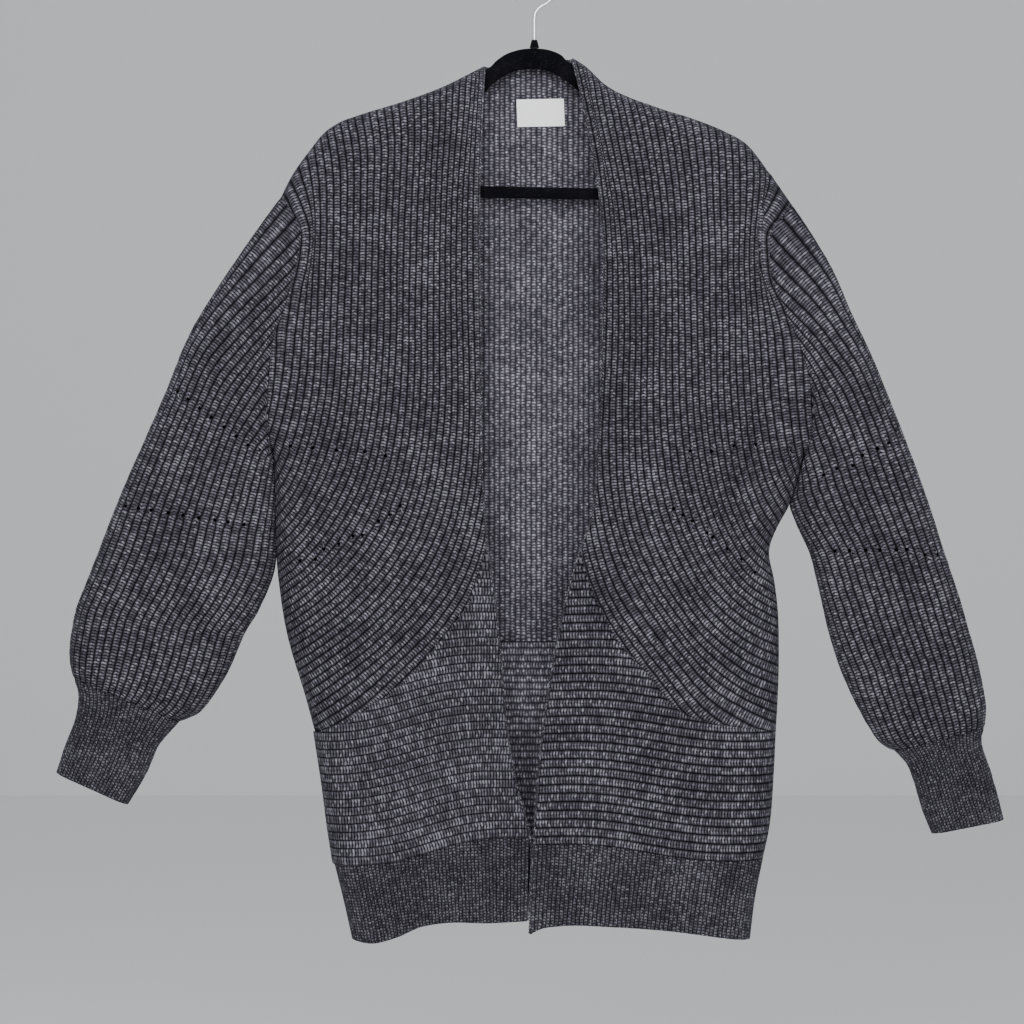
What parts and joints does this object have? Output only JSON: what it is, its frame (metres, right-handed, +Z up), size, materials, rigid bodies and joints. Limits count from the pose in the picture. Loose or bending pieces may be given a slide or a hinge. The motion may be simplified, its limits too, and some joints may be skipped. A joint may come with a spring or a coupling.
{
  "type": "open-front cardigan on a hanger",
  "caption": "Chunky ribbed open-front cardigan with long sleeves, hanging on a flat velvet hanger whose hook is its mount.",
  "frame": {"origin": "where the hanger's hook rests on its rail, at the middle of the hook's wire top", "axes": "+Z up, +X towards the wearer's left, +Y towards the wearer's back, so the front faces -Y"},
  "size_m": [0.9469, 0.0573, 0.9783],
  "materials": {
    "knit": "matte wool knit",
    "label": "matte woven",
    "velvet": "matte flocked",
    "collar": "matte",
    "hook": "polished"
  },
  "bodies": {
    "root": {"back": "knit", "back_lower": "knit", "front_right": "knit", "front_left": "knit", "front_lower_right": "knit", "front_lower_left": "knit", "hem_front_right": "knit", "hem_front_left": "knit", "hem_back": "knit", "sleeve_right": "knit", "sleeve_left": "knit", "cuff_right": "knit", "cuff_left": "knit", "neck_label": "label", "hanger_frame": "velvet", "hanger_collar": "collar", "hanger_hook": "hook"}
  },
  "joints": []
}
